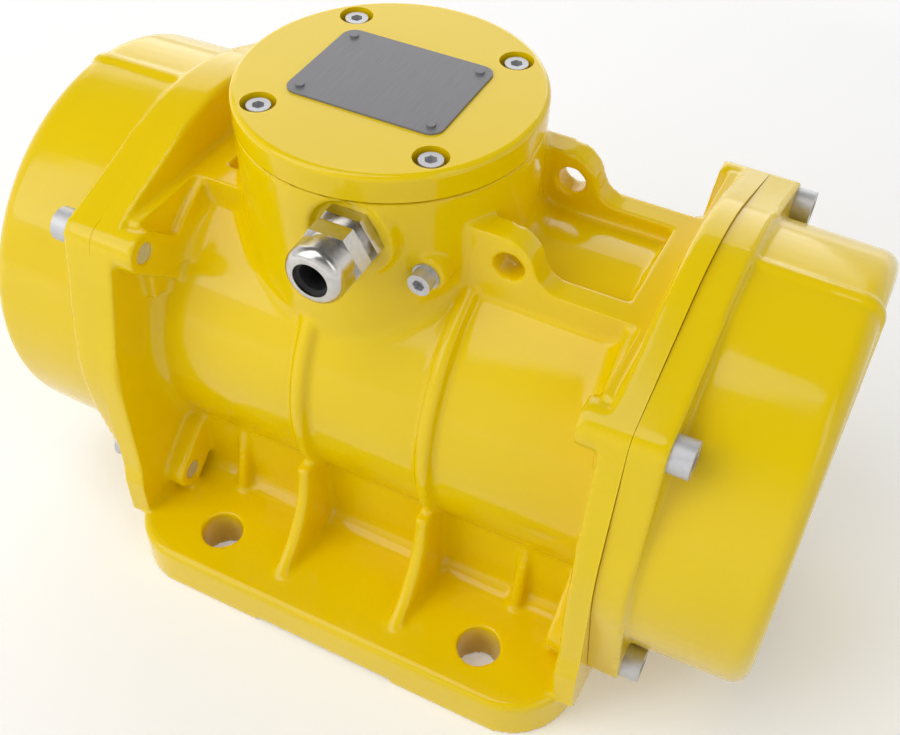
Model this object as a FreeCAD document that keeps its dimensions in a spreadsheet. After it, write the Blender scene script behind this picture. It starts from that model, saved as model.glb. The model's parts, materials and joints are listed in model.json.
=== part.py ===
import FreeCAD, Part
import math
import os

import Sketcher

# External vibration motor: a flanged cast housing on a bolted foot, with a
# caged rotor on two roller bearings that swings eccentric weights under two
# end covers. The shaft runs along X, the cable gland looks to -Y, and the
# mounting face is z = 0. Lengths are in millimetres.

doc = FreeCAD.newDocument("VibrationMotor")
sheet = doc.addObject("Spreadsheet::Sheet", "Sizes")

SIZES = [
    # Housing casting
    ("axis_height", "90", "shaft axis above the mounting face"),
    ("housing_half", "102", "middle of the motor to a cover joint"),
    ("flange_thick", "9", "end flange of the housing"),
    ("flange_radius", "89.5", "end flange of the housing"),
    ("barrel_radius", "67", "outside of the barrel"),
    ("bore_radius", "56", "stator seat in the barrel"),
    ("barrel_blend", "6", "cast fillet from barrel to flange"),
    ("edge_round", "2", "cast edges"),
    ("shield_seat_radius", "70", "recess for the bearing shield"),
    ("shield_seat_depth", "8", "recess for the bearing shield"),
    # Ribs that run round the barrel and down to the foot
    ("rib_offset", "26.5", "big rib from the middle"),
    ("rib_thick", "6", "big rib"),
    ("rib_height", "3.5", "big rib above the barrel"),
    ("rib_leave", "62", "height where the rib starts to sweep outwards"),
    ("rib_reach", "95.5", "rib toe on the foot, from the middle"),
    ("low_rib_offset", "65", "small rib from the middle"),
    ("low_rib_thick", "5", "small rib"),
    ("low_rib_reach", "65", "small rib toe on the foot"),
    ("low_rib_top", "56", "small rib top end above the mounting face"),
    # Foot
    ("foot_inset", "3", "foot end inside the cover joint"),
    ("foot_reach", "105.5", "half width of the foot"),
    ("foot_thick", "20", "foot plate"),
    ("foot_corner", "27", "corner radius in plan"),
    ("foot_round", "2.5", "upper edge of the foot"),
    ("foot_pitch_x", "120", "foot bolt spacing along the shaft"),
    ("foot_pitch_y", "170", "foot bolt spacing across the shaft"),
    ("foot_hole", "17", "foot bolt hole diameter"),
    ("relief_half", "32", "half length of the relieved strip under the foot"),
    ("relief_depth", "1.2", "relief under the foot"),
    ("saddle_half", "56", "half width of the saddle between barrel and foot"),
    ("saddle_blend", "8", "cast fillet from saddle to foot"),
    # Cover bolts and their lugs
    ("bolt_y", "69.6", "cover bolt from the middle"),
    ("bolt_z", "60.7", "cover bolt above or below the axis"),
    ("lug_radius", "8.2", "lug round a cover bolt"),
    ("lug_boss", "9", "boss behind each lug"),
    ("apron_half", "91", "half width of the flange foot"),
    ("apron_turn", "45", "height where the flange foot starts to widen"),
    ("cover_bolt", "8", "cover bolt thread diameter"),
    ("cover_bolt_hole", "9", "clearance hole in the cover lug"),
    ("cover_bolt_head", "13", "head diameter"),
    ("cover_bolt_head_height", "5.5", "head height"),
    ("cover_bolt_inset", "1", "bolt end below the back of its lug"),
    ("washer_thick", "1.6", "spring washer under a cover bolt"),
    # Lifting plates and bands on top
    ("ear_gap", "44", "clear gap between the two lifting plates"),
    ("ear_thick", "10", "lifting plate"),
    ("ear_low", "160", "height of the plates beside the flanges"),
    ("ear_x", "40", "lifting hole from the middle"),
    ("ear_hole_rise", "6.2", "lifting hole above the low part of its plate"),
    ("ear_hole", "11", "lifting hole diameter"),
    ("ear_head", "12.7", "radius of the rounded head round the hole"),
    ("ear_head_x", "37.5", "middle of the rounded head"),
    ("ear_head_rise", "5.3", "middle of the head above the low part"),
    ("ear_sweep", "10", "hollow sweep below the rounded head"),
    ("band_width", "12.5", "cross band between the plates, beside a flange"),
    ("band_ledge", "5", "ledge from the band out to the lugs"),
    ("collar_rise", "9", "collar on the barrel inside each band"),
    ("collar_thick", "4", "collar"),
    ("collar_sweep", "7", "cast fillet from barrel to collar"),
    ("collar_low", "135", "lower end of the collar above the mounting face"),
    # Terminal box
    ("box_x", "21.7", "box centre left of the middle"),
    ("box_radius", "55.5", "outside of the terminal box"),
    ("box_wall", "8", "terminal box wall"),
    ("box_floor", "161", "floor of the terminal box"),
    ("box_top", "191", "rim of the terminal box"),
    ("box_blend", "8", "cast fillet from box to barrel"),
    ("lead_hole", "16", "hole for the winding leads"),
    ("lid_radius", "55.7", "lid"),
    ("lid_thick", "10", "lid"),
    ("lid_round", "2.2", "lid edge"),
    ("gasket_thick", "1", "lid gasket"),
    ("gasket_inset", "1", "gasket edge inside the box edge"),
    ("gasket_width", "12", "lid gasket"),
    ("lid_bolt_spread", "32.9", "lid screw from the box centre, both ways"),
    ("lid_screw", "5", "lid screw thread diameter"),
    ("lid_screw_length", "18", "lid screw below its head"),
    ("lid_head", "8.5", "lid screw head diameter"),
    ("lid_sink", "12.5", "counterbore diameter in the lid"),
    ("lid_sink_depth", "7", "counterbore depth in the lid"),
    ("lid_boss_radius", "7.5", "screw post inside the box"),
    ("lid_washer_thick", "1", "spring washer under a lid screw"),
    # Nameplate
    ("plate_length", "60", "nameplate along the shaft"),
    ("plate_width", "46", "nameplate across the shaft"),
    ("plate_thick", "0.8", "nameplate"),
    ("plate_corner", "5", "nameplate corner radius"),
    ("rivet_inset", "4.6", "rivet from the plate edges"),
    ("rivet_head", "3.2", "rivet head diameter"),
    ("rivet_pin", "2", "rivet shank diameter"),
    # Cable gland
    ("gland_x", "8.5", "gland left of the middle"),
    ("gland_z", "176", "gland above the mounting face"),
    ("gland_seat", "52", "seat of the gland from the middle"),
    ("gland_boss", "16", "radius of the gland boss"),
    ("gland_spot", "14.2", "radius of the spot face"),
    ("gland_thread", "20", "entry thread diameter"),
    ("gland_flats", "22", "across the flats"),
    ("gland_base", "4.5", "base hexagon"),
    ("gland_neck", "4", "threaded neck seen behind the cap nut"),
    ("gland_nut_hex", "6.5", "hexagon part of the cap nut"),
    ("gland_dome", "10.8", "round part of the cap nut"),
    ("gland_mouth", "13", "opening of the cap nut"),
    ("gland_cable", "10.4", "hole in the sealing ring"),
    # Earth screw
    ("earth_x", "15.5", "earth screw right of the middle"),
    ("earth_z", "162", "earth screw above the mounting face"),
    ("earth_seat", "44", "seat of the earth washer from the middle"),
    ("earth_boss", "7", "radius of the earth boss"),
    ("earth_washer_radius", "5", "earth washer"),
    ("earth_washer_thick", "1", "earth washer"),
    # Covers
    ("cover_flange", "12", "cover flange"),
    ("cover_flange_radius", "88", "cover flange"),
    ("cup_radius", "84.7", "outside of the cup at its flange"),
    ("cup_taper", "1", "cup smaller in radius at its end"),
    ("cup_length", "56", "joint to the end of the cup"),
    ("cup_round", "7", "cup edge"),
    ("cup_wall", "4.5", "cup wall"),
    ("cup_raise", "1.2", "raised bead along the cup"),
    ("cup_bead", "4", "width of that bead"),
    ("seal_radius", "83.5", "mean radius of the cover seal"),
    ("seal_width", "3", "cover seal"),
    ("seal_depth", "2", "cover seal groove"),
    # Stator and rotor
    ("stator_half", "40", "half length of both cores"),
    ("air_gap", "0.4", "rotor to stator"),
    ("rotor_radius", "34.6", "rotor core"),
    ("winding_length", "24", "end winding beyond the core"),
    ("winding_thick", "15", "end winding in section"),
    ("end_ring_length", "8", "short-circuit ring"),
    ("end_ring_radius", "33", "short-circuit ring"),
    ("fit_gap", "0.03", "radial clearance of a fit"),
    # Shaft
    ("core_seat", "18", "shaft radius under the rotor core"),
    ("bearing_seat", "15", "shaft radius under the bearings"),
    ("weight_seat", "14", "shaft radius under the weights"),
    ("shaft_beyond", "45.5", "shaft beyond each cover joint"),
    ("shaft_chamfer", "1", "shaft ends"),
    # Bearings and shields
    ("bearing_inset", "28", "inner face of a bearing from the cover joint"),
    ("bearing_width", "27", "bearing"),
    ("bearing_outer", "36", "outside radius of the outer ring"),
    ("inner_race", "20.25", "raceway radius of the inner ring"),
    ("roller_radius", "5.5", "roller"),
    ("roller_length", "17.8", "roller"),
    ("inner_rim", "23.5", "rim radius of the inner ring"),
    ("outer_rim", "28.5", "rim radius of the outer ring"),
    ("rim_width", "4.5", "rims beside the rollers"),
    ("roller_count", "12", "rollers in a bearing"),
    ("cage_thick", "3.1", "cage wall"),
    ("cage_side", "1.7", "side ring of the cage"),
    ("cage_play", "0.35", "cage pocket round a roller"),
    ("shield_flange", "6", "shield flange"),
    ("shield_web", "10", "spigot length of the shield"),
    ("shield_hub", "44", "hub radius of the shield"),
    ("shield_lip", "4", "lip behind the bearing"),
    ("shield_lip_radius", "31", "bore of that lip"),
    ("shield_screw_circle", "62.5", "radius of the shield screw circle"),
    ("shield_screw", "6", "shield screw diameter"),
    ("shield_screw_length", "18", "shield screw below its head"),
    ("cap_thick", "4", "bearing cap"),
    ("cap_radius", "46", "bearing cap"),
    ("cap_screw_circle", "40.5", "radius of the cap screw circle"),
    ("cap_screw", "5", "cap screw diameter"),
    ("cap_screw_length", "12", "cap screw below its head"),
    ("cap_head_height", "2.8", "cap screw head"),
    ("cap_recess", "1", "recess of the cap over the inner ring"),
    ("cap_recess_radius", "33", "recess of the cap over the inner ring"),
    # Eccentric weights
    ("spacer_length", "8", "spacer between bearing and weight"),
    ("spacer_radius", "20", "spacer"),
    ("weight_radius", "69", "swing of a weight"),
    ("weight_thick", "15", "one weight"),
    ("weight_gap", "0.5", "gap between fixed and adjustable weight"),
    ("weight_hub", "24", "hub radius of a weight"),
    ("weight_corner", "5", "corners of a weight"),
    ("key_width", "8", "key"),
    ("key_height", "7", "key"),
    ("key_sink", "4", "key depth in the shaft"),
    ("key_inset", "1", "key ends inside the fixed weight"),
    ("clamp_half", "20", "half width of the clamp head"),
    ("clamp_rise", "30", "clamp head above the axis"),
    ("clamp_slot", "3", "slot of the clamp"),
    ("clamp_screw", "8", "clamp screw diameter"),
    ("clamp_screw_rise", "21.5", "clamp screw above the axis"),
    ("scale_thick", "2", "graduated disc"),
    ("scale_radius", "30", "graduated disc"),
    ("clip_thick", "1.5", "retaining ring"),
    ("clip_sink", "0.8", "retaining ring groove depth"),
    ("clip_height", "3", "retaining ring in section"),
    # Terminal block
    ("block_length", "52", "terminal block along the shaft"),
    ("block_width", "34", "terminal block across the shaft"),
    ("block_height", "9", "terminal block"),
    ("stud_pitch", "15", "terminal studs"),
    ("stud_thread", "5", "terminal stud diameter"),
    ("stud_rise", "12", "terminal stud above the block"),
    ("nut_flats", "8", "terminal nut across the flats"),
    ("nut_height", "4", "terminal nut"),
]

for line, (alias, number, meaning) in enumerate(SIZES, start=1):
    sheet.set(f"A{line}", alias)
    sheet.set(f"B{line}", number)
    sheet.set(f"C{line}", meaning)
    sheet.setAlias(f"B{line}", alias)
doc.recompute()


class Size:
    """A length with the formula that ties it to the sheet."""

    def __init__(self, number, formula):
        self.number = float(number)
        self.formula = formula

    def __add__(self, other):
        other = as_size(other)
        return Size(self.number + other.number, f"({self.formula} + {other.formula})")

    def __sub__(self, other):
        other = as_size(other)
        return Size(self.number - other.number, f"({self.formula} - {other.formula})")

    def __mul__(self, other):
        other = as_size(other)
        return Size(self.number * other.number, f"({self.formula} * {other.formula})")

    def __truediv__(self, other):
        other = as_size(other)
        return Size(self.number / other.number, f"({self.formula} / {other.formula})")

    def __radd__(self, other):
        return as_size(other) + self

    def __rsub__(self, other):
        return as_size(other) - self

    def __rmul__(self, other):
        return as_size(other) * self

    def __neg__(self):
        return Size(-self.number, f"(-1 * {self.formula})")


def as_size(value):
    return value if isinstance(value, Size) else Size(value, repr(float(value)))


def root(size):
    return Size(math.sqrt(size.number), f"sqrt({size.formula})")


class Sheet:
    """Every alias of the sheet as a Size."""

    def __init__(self):
        for alias, number, meaning in SIZES:
            setattr(self, alias, Size(sheet.get(alias), f"Sizes.{alias}"))


S = Sheet()


# Building blocks

TURNS = {
    "X": FreeCAD.Rotation(FreeCAD.Vector(0, 1, 0), 90),
    "Y": FreeCAD.Rotation(FreeCAD.Vector(1, 0, 0), -90),
    "Z": FreeCAD.Rotation(),
}


def bind(thing, prop, value):
    value = as_size(value)
    if value.formula == repr(value.number):
        if prop.startswith("Placement.Base."):
            base = thing.Placement.Base
            setattr(base, prop[-1], value.number)
            thing.Placement = FreeCAD.Placement(base, thing.Placement.Rotation)
        else:
            setattr(thing, prop, value.number)
    else:
        thing.setExpression(prop, value.formula)


def place(thing, at):
    for axis, value in zip("xyz", at):
        bind(thing, f"Placement.Base.{axis}", value)
    return thing


def cylinder(name, radius, length, at, axis="X"):
    """A cylinder that starts at the point and runs along the positive axis."""
    thing = doc.addObject("Part::Cylinder", name)
    thing.Placement = FreeCAD.Placement(FreeCAD.Vector(), TURNS[axis])
    bind(thing, "Radius", radius)
    bind(thing, "Height", length)
    return place(thing, at)


def hexagon(name, flats, length, at, axis="X"):
    thing = doc.addObject("Part::Prism", name)
    thing.Polygon = 6
    thing.Placement = FreeCAD.Placement(FreeCAD.Vector(), TURNS[axis])
    bind(thing, "Circumradius", flats / math.sqrt(3))
    bind(thing, "Height", length)
    return place(thing, at)


def box(name, low, high):
    thing = doc.addObject("Part::Box", name)
    low = [as_size(value) for value in low]
    high = [as_size(value) for value in high]
    for prop, start, end in zip(("Length", "Width", "Height"), low, high):
        bind(thing, prop, end - start)
    return place(thing, low)


def fuse(name, things):
    thing = doc.addObject("Part::MultiFuse", name)
    thing.Shapes = things
    thing.Refine = True
    return thing


def cut(name, base, tool):
    thing = doc.addObject("Part::Cut", name)
    thing.Base = base
    thing.Tool = tool
    thing.Refine = True
    return thing


def common(name, things):
    thing = doc.addObject("Part::MultiCommon", name)
    thing.Shapes = things
    thing.Refine = True
    return thing


def rounded(name, base, radius, wanted):
    """A fillet on every edge of the piece that the test picks."""
    doc.recompute()
    thing = doc.addObject("Part::Fillet", name)
    thing.Base = base
    thing.Edges = [(number, radius.number, radius.number)
                   for number, edge in enumerate(base.Shape.Edges, start=1) if wanted(edge)]
    return thing


def all_near(edge, axis, value):
    """True where the whole edge lies in one plane across the axis."""
    return all(abs(getattr(point, axis) - value.number) < 0.01 for point in edge.discretize(5))


def group(name, things):
    thing = doc.addObject("Part::Compound", name)
    thing.Links = things
    return thing


def mirrored(name, source, normal=(1, 0, 0)):
    thing = doc.addObject("Part::Mirroring", name)
    thing.Source = source
    thing.Normal = FreeCAD.Vector(*normal)
    return thing


def origin_plane(body, role):
    for feature in body.Origin.OriginFeatures:
        if feature.Role == role:
            return feature


def outline_sketch(body, name, plane, outline):
    """A closed outline of straight edges whose corners are tied to the sheet."""
    sketch = body.newObject("Sketcher::SketchObject", name)
    sketch.AttachmentSupport = (origin_plane(body, plane), [""])
    sketch.MapMode = "FlatFace"
    corners = [(as_size(along), as_size(up)) for along, up in outline]
    count = len(corners)
    for i in range(count):
        start, end = corners[i], corners[(i + 1) % count]
        sketch.addGeometry(Part.LineSegment(
            FreeCAD.Vector(start[0].number, start[1].number, 0),
            FreeCAD.Vector(end[0].number, end[1].number, 0)))
    for i in range(count):
        sketch.addConstraint(Sketcher.Constraint("Coincident", i, 2, (i + 1) % count, 1))
    for i, corner in enumerate(corners):
        for kind, value, axis in zip(("DistanceX", "DistanceY"), corner, (-2, -1)):
            if value.number == 0 and value.formula == "0.0":
                sketch.addConstraint(Sketcher.Constraint("PointOnObject", i, 1, axis))
            else:
                row = sketch.addConstraint(Sketcher.Constraint(kind, -1, 1, i, 1, value.number))
                bind(sketch, f"Constraints[{row}]", value)
    return sketch


def new_body(name):
    return doc.addObject("PartDesign::Body", name)


def turned(name, outline, rounds=(), height=S.axis_height):
    """A body of revolution about the shaft. The outline is (x, radius) corners;
    each round is (x, radius, fillet) at the corner circle of that place."""
    body = new_body(name)
    sketch = outline_sketch(body, f"{name}_outline", "XZ_Plane", outline)
    turn = body.newObject("PartDesign::Revolution", f"{name}_turn")
    turn.Profile = sketch
    turn.ReferenceAxis = (sketch, ["H_Axis"])
    turn.Angle = 360
    sketch.Visibility = False
    doc.recompute()
    for step, (along, radius, fillet) in enumerate(rounds):
        spot = (as_size(along).number, as_size(radius).number)
        round_edges(body, f"{name}_round{step}", circles_at(body.Tip.Shape, spot), fillet)
    bind(body, "Placement.Base.z", height)
    return body


def circles_at(shape, spot):
    """Names of the circular edges about the local X axis at (x, radius)."""
    found = []
    for number, edge in enumerate(shape.Edges, start=1):
        middle = edge.CenterOfMass
        ends = [vertex.Point for vertex in edge.Vertexes]
        radii = [math.hypot(point.y, point.z) for point in ends]
        if all(abs(radius - spot[1]) < 0.01 for radius in radii) \
                and all(abs(point.x - spot[0]) < 0.01 for point in ends) \
                and abs(middle.x - spot[0]) < 0.01:
            found.append(f"Edge{number}")
    return found


def round_edges(body, name, edges, radius):
    """Rounds the named edges of the body as it stands."""
    carrier = body.Tip
    feature = body.newObject("PartDesign::Fillet", name)
    feature.Base = (carrier, edges)
    bind(feature, "Radius", radius)
    doc.recompute()
    return feature


def upright_edges(shape):
    found = []
    for number, edge in enumerate(shape.Edges, start=1):
        low, high = edge.Vertexes[0].Point, edge.Vertexes[-1].Point
        if abs(low.x - high.x) + abs(low.y - high.y) < 0.01:
            found.append(f"Edge{number}")
    return found


def plate(name, outline, thick, low, plane="YZ_Plane"):
    """A flat plate: an outline in a main plane, raised by its thickness."""
    body = new_body(name)
    sketch = outline_sketch(body, f"{name}_outline", plane, outline)
    pad = body.newObject("PartDesign::Pad", f"{name}_pad")
    pad.Profile = sketch
    bind(pad, "Length", thick)
    sketch.Visibility = False
    across = {"YZ_Plane": "x", "XZ_Plane": "y", "XY_Plane": "z"}[plane]
    bind(body, f"Placement.Base.{across}", low)
    return body


def both_ends(name, right):
    """The right piece keeps its name; the left one is its mirror image."""
    right.Label = f"{name}_right"
    left = mirrored(f"{name}_left", right)
    pieces[f"{name}_right"] = right
    pieces[f"{name}_left"] = left


pieces = {}


def keep(name, thing):
    thing.Label = name
    pieces[name] = thing
    return thing


# Screws

def socket_screw(name, thread, length, head, head_height, at, axis, key):
    """A cap screw whose head seats at the point; the shank runs to -axis."""
    shift = {"X": 0, "Y": 1, "Z": 2}[axis]
    tail = list(at)
    tail[shift] = as_size(at[shift]) - length
    mouth = list(at)
    mouth[shift] = as_size(at[shift]) + head_height / 2
    body = fuse(f"{name}_body", [
        cylinder(f"{name}_head", head / 2, head_height, at, axis),
        cylinder(f"{name}_shank", thread / 2, length, tail, axis)])
    return cut(name, body, hexagon(f"{name}_socket", key, head_height, mouth, axis))


def bolt_corners():
    for side in (-1, 1):
        for level in (-1, 1):
            yield side, level


# Terminal box and lid places

BOX_X = -S.box_x
CAVITY = S.box_radius - S.box_wall
LID_UNDER = S.box_top + S.gasket_thick
LID_TOP = LID_UNDER + S.lid_thick
FLANGE_BACK = S.housing_half - S.flange_thick
SEAT = S.housing_half + S.cover_flange
CUP_END = S.housing_half + S.cup_length
FOOT_HALF = S.housing_half - S.foot_inset
SHAFT_HALF = S.housing_half + S.shaft_beyond
BEARING_START = S.housing_half - S.bearing_inset


def foot():
    reach, half = S.foot_reach, FOOT_HALF
    body = plate("foot", [(-half, -reach), (half, -reach), (half, reach), (-half, reach)],
                 S.foot_thick, 0, "XY_Plane")
    doc.recompute()
    corner = round_edges(body, "foot_corners", upright_edges(body.Tip.Shape), S.foot_corner)
    rim = [f"Edge{number}" for number, edge in enumerate(corner.Shape.Edges, start=1)
           if all(abs(vertex.Z - S.foot_thick.number) < 0.01 for vertex in edge.Vertexes)]
    round_edges(body, "foot_rim", rim, S.foot_round)
    # The saddle fills the space between the barrel and the foot
    side, end = S.saddle_half, FLANGE_BACK
    sketch = outline_sketch(body, "saddle_outline", "XY_Plane",
                            [(-end, -side), (end, -side), (end, side), (-end, side)])
    saddle = body.newObject("PartDesign::Pad", "saddle")
    saddle.Profile = sketch
    bind(saddle, "Length", S.axis_height)
    sketch.Visibility = False
    doc.recompute()
    blend = []
    for number, edge in enumerate(saddle.Shape.Edges, start=1):
        middle = edge.CenterOfMass
        if abs(middle.z - S.foot_thick.number) < 0.01 and abs(middle.x) < 0.01 \
                and abs(abs(middle.y) - side.number) < 0.01:
            blend.append(f"Edge{number}")
    round_edges(body, "saddle_blend", blend, S.saddle_blend)
    return body


def barrel():
    """The barrel with its end flanges, which it meets in cast fillets."""
    half = [(FLANGE_BACK, S.barrel_radius), (FLANGE_BACK, S.flange_radius),
            (S.housing_half, S.flange_radius), (S.housing_half, 0)]
    other = [(-along, radius) for along, radius in reversed(half)]
    rounds = []
    for side in (-1, 1):
        rounds.append((side * FLANGE_BACK, S.barrel_radius, S.barrel_blend))
        rounds.append((side * FLANGE_BACK, S.flange_radius, S.edge_round))
    return turned("barrel", other + half, rounds)


def box_on_barrel():
    """The round terminal box, which grows out of the barrel with a wide cast
    fillet. The core gives the fillet its footing and lies inside the barrel."""
    core = cylinder("barrel_core", S.barrel_radius, 2 * S.housing_half,
                    (-S.housing_half, 0, S.axis_height))
    tower = cylinder("box_outside", S.box_radius, S.box_top - S.axis_height,
                     (BOX_X, 0, S.axis_height), "Z")
    joined = fuse("box_on_core", [core, tower])

    def where_they_meet(edge):
        for point in edge.discretize(5):
            from_box = math.hypot(point.x - BOX_X.number, point.y)
            from_axis = math.hypot(point.y, point.z - S.axis_height.number)
            if abs(from_box - S.box_radius.number) > 0.01 \
                    or abs(from_axis - S.barrel_radius.number) > 0.01:
                return False
        return True

    return rounded("box_blended", joined, S.box_blend, where_they_meet)


def rib_ring(side):
    low, high = side * S.rib_offset - S.rib_thick / 2, side * S.rib_offset + S.rib_thick / 2
    crest, root_radius = S.barrel_radius + S.rib_height, S.barrel_radius - 1
    name = "ring_right" if side > 0 else "ring_left"
    return turned(name, [(low, root_radius), (high, root_radius), (high, crest), (low, crest)],
                  [(low, crest, S.edge_round), (high, crest, S.edge_round)])


def big_rib(side):
    """The foot end of a big rib: it leaves the barrel straight down and sweeps
    outwards to its toe in a hollow arc."""
    crest = S.barrel_radius + S.rib_height
    run = S.rib_reach - crest
    drop = S.rib_leave - S.foot_thick
    sweep = (run * run + drop * drop) / (2 * run)
    low = side * S.rib_offset - S.rib_thick / 2
    name = "rib_right" if side > 0 else "rib_left"
    block = box(f"{name}_block", (low, -S.rib_reach, S.foot_thick / 2),
                (low + S.rib_thick, S.rib_reach, S.rib_leave))
    hollows = [cylinder(f"{name}_hollow{i}", sweep, S.rib_thick + 2,
                        (low - 1, way * (crest + sweep), S.rib_leave), "X")
               for i, way in enumerate((-1, 1))]
    shape = cut(f"{name}_sharp", block, fuse(f"{name}_hollows", hollows))

    def crest_edge(edge):
        return type(edge.Curve).__name__ == "Circle" \
            and (all_near(edge, "x", low) or all_near(edge, "x", low + S.rib_thick))

    return rounded(name, shape, S.edge_round, crest_edge)


def low_rib(side):
    name = "low_rib_right" if side > 0 else "low_rib_left"
    top = S.axis_height - S.low_rib_top
    inner = root(S.barrel_radius * S.barrel_radius - top * top) - S.edge_round
    floor = S.foot_thick - S.edge_round
    body = plate(name, [(-S.low_rib_reach, floor), (S.low_rib_reach, floor),
                        (inner, S.low_rib_top), (-inner, S.low_rib_top)],
                 S.low_rib_thick, side * S.low_rib_offset - S.low_rib_thick / 2)
    doc.recompute()
    sloped = []
    for number, edge in enumerate(body.Tip.Shape.Edges, start=1):
        low, high = edge.Vertexes[0].Point, edge.Vertexes[-1].Point
        if abs(low.x - high.x) < 0.01 and abs(low.z - high.z) > 1:
            sloped.append(f"Edge{number}")
    round_edges(body, f"{name}_crest", sloped, S.edge_round)
    return body


def bolt_direction():
    """Length and direction of the line from the shaft axis to a cover bolt."""
    reach = root(S.bolt_y * S.bolt_y + S.bolt_z * S.bolt_z)
    return reach, S.bolt_y / reach, S.bolt_z / reach


def lug_web(name, radius, thick, low):
    """Leads a round flange out to its four bolt lugs: flat sides that leave the
    flange and meet the lugs 28.3 degrees from the line to the bolt."""
    lean, rest = math.cos(math.radians(28.3)), math.sin(math.radians(28.3))
    reach, uy, uz = bolt_direction()
    outline = []
    for side, level in ((-1, -1), (1, -1), (1, 1), (-1, 1)):
        for turn in (-1, 1):
            ny = side * lean * uy - turn * level * rest * uz
            nz = level * lean * uz + turn * side * rest * uy
            touch = (radius * ny, S.axis_height + radius * nz)
            ear = (side * S.bolt_y + S.lug_radius * ny,
                   S.axis_height + level * S.bolt_z + S.lug_radius * nz)
            outline += [touch, ear] if turn < 0 else [ear, touch]
    return plate(name, outline, thick, low)


def lugs(end):
    """Four bolt lugs on one flange. Behind each one a boss as wide as the lug
    carries the thread, and a web leads it back to the barrel."""
    name = "right" if end > 0 else "left"
    low = FLANGE_BACK if end > 0 else -S.housing_half
    start = FLANGE_BACK - S.lug_boss if end > 0 else -FLANGE_BACK
    made = [lug_web(f"flange_{name}", S.flange_radius, S.flange_thick, low)]
    reach, uy, uz = bolt_direction()
    inner = S.barrel_radius - S.collar_sweep
    wide = S.lug_radius
    for side, level in bolt_corners():
        tag = f"lug_{name}_{'f' if side < 0 else 'b'}{'u' if level > 0 else 'd'}"
        y, z = side * S.bolt_y, S.axis_height + level * S.bolt_z
        made.append(cylinder(tag, wide, S.flange_thick + S.lug_boss,
                             (start if end > 0 else -S.housing_half, y, z)))
        back = (side * inner * uy, S.axis_height + level * inner * uz)
        across = (-level * wide * uz, side * wide * uy)
        made.append(plate(f"{tag}_web", [
            (y + across[0], z + across[1]), (y - across[0], z - across[1]),
            (back[0] - across[0], back[1] - across[1]),
            (back[0] + across[0], back[1] + across[1])], S.lug_boss, start))
    return made


def apron(end):
    """The foot of one flange: below the axis its sides drop straight, widen a
    little and end beside the foot plate."""
    half, turn = S.apron_half, S.apron_turn
    name = "apron_right" if end > 0 else "apron_left"
    rights = [(S.flange_radius, S.axis_height), (S.flange_radius, turn), (half, turn - 9),
              (half, S.foot_thick - 3), (half - 5, S.foot_thick / 2)]
    outline = rights + [(-y, z) for y, z in reversed(rights)]
    return plate(name, outline, S.flange_thick, FLANGE_BACK if end > 0 else -S.housing_half)


def band(end):
    """The cross band on top, behind one flange: wide between the lifting
    plates, and from there a narrow ledge out to the upper lugs."""
    name = "band_right" if end > 0 else "band_left"
    outer, inner = end * FLANGE_BACK, end * (FLANGE_BACK - S.band_width)
    ledge = end * (FLANGE_BACK - S.band_ledge)
    tip = S.bolt_y - S.lug_radius / 2
    plate_edge = S.ear_gap / 2 + S.ear_thick
    outline = [(outer, -tip), (ledge, -tip), (ledge, -plate_edge), (inner, -plate_edge),
               (inner, plate_edge), (ledge, plate_edge), (ledge, tip), (outer, tip)]
    base = S.axis_height + S.barrel_radius / 2
    return plate(name, outline, S.ear_low - base, base, "XY_Plane")


def collar(end):
    """A low collar round the upper part of the barrel, beside one band, with a
    wide cast fillet towards the barrel."""
    name = "collar_right" if end > 0 else "collar_left"
    outer = end * (FLANGE_BACK - S.band_ledge)
    inner = end * (FLANGE_BACK - S.band_ledge - S.collar_thick)
    start = end * (FLANGE_BACK - S.band_ledge - S.collar_thick - 2 * S.collar_sweep)
    skin, crest = S.barrel_radius, S.barrel_radius + S.collar_rise
    ring = turned(name, [(start, skin - 4), (start, skin), (inner, skin), (inner, crest),
                         (outer, crest), (outer, skin - 4)], [(inner, skin, S.collar_sweep)])
    low, high = (start, outer) if end > 0 else (outer, start)
    space = box(f"{name}_space", (low - 1, -crest - 1, S.collar_low),
                (high + 1, crest + 1, S.ear_low))
    return common(f"{name}_upper", [ring, space])


def ears():
    """Two lifting plates from band to band past the terminal box. Right of the
    box they rise to a rounded head round the lifting hole, which sweeps down in
    a hollow arc."""
    made = []
    base = S.axis_height + S.barrel_radius / 2
    head, sweep = S.ear_head, S.ear_sweep
    head_x, head_z = S.ear_head_x, S.ear_low + S.ear_head_rise
    rise, across = sweep - S.ear_head_rise, head + sweep
    hollow_x = head_x + root(across * across - rise * rise)
    touch_z = head_z + head * rise / across
    for i, low in enumerate((-S.ear_gap / 2 - S.ear_thick, S.ear_gap / 2)):
        high = low + S.ear_thick
        made.append(box(f"ear{i}_low", (-FLANGE_BACK, low, base), (FLANGE_BACK, high, S.ear_low)))
        made.append(box(f"ear{i}_high", (BOX_X, low, base), (head_x, high, head_z + head)))
        made.append(cylinder(f"ear{i}_head", head, S.ear_thick, (head_x, low, head_z), "Y"))
        block = box(f"ear{i}_block", (head_x, low, base), (hollow_x, high, touch_z))
        hollow = cylinder(f"ear{i}_hollow", sweep, S.ear_thick + 2,
                          (hollow_x, low - 1, S.ear_low + sweep), "Y")
        made.append(cut(f"ear{i}_sweep", block, hollow))
    return made


def lid_corners():
    for side in (-1, 1):
        for way in (-1, 1):
            yield BOX_X + side * S.lid_bolt_spread, way * S.lid_bolt_spread


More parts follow.
